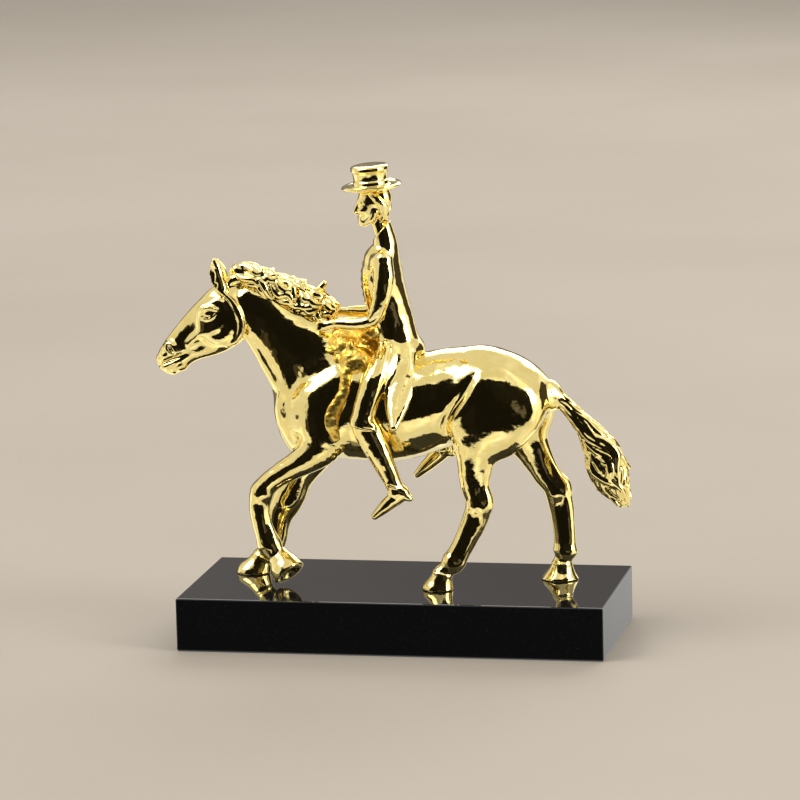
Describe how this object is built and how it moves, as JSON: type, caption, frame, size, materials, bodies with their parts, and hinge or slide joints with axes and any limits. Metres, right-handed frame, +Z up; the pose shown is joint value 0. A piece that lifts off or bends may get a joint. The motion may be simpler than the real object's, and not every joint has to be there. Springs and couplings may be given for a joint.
{
  "type": "equestrian statuette",
  "caption": "Small cast gold horse at a walk with a rider in a top hat and tailcoat, standing on a polished black rectangular plinth.",
  "frame": {"origin": "middle of the plinth's underside", "axes": "+Z up; the horse faces -X along the plinth's length; +Y across the plinth, away from the horse's near side"},
  "size_m": [0.1343, 0.054, 0.1332],
  "materials": {
    "gold": "polished cast metal with a bright gold plating",
    "black_stone": "mirror polished, jet black"
  },
  "bodies": {
    "root": {"plinth": "black_stone", "horse_and_rider": "gold"}
  },
  "joints": []
}
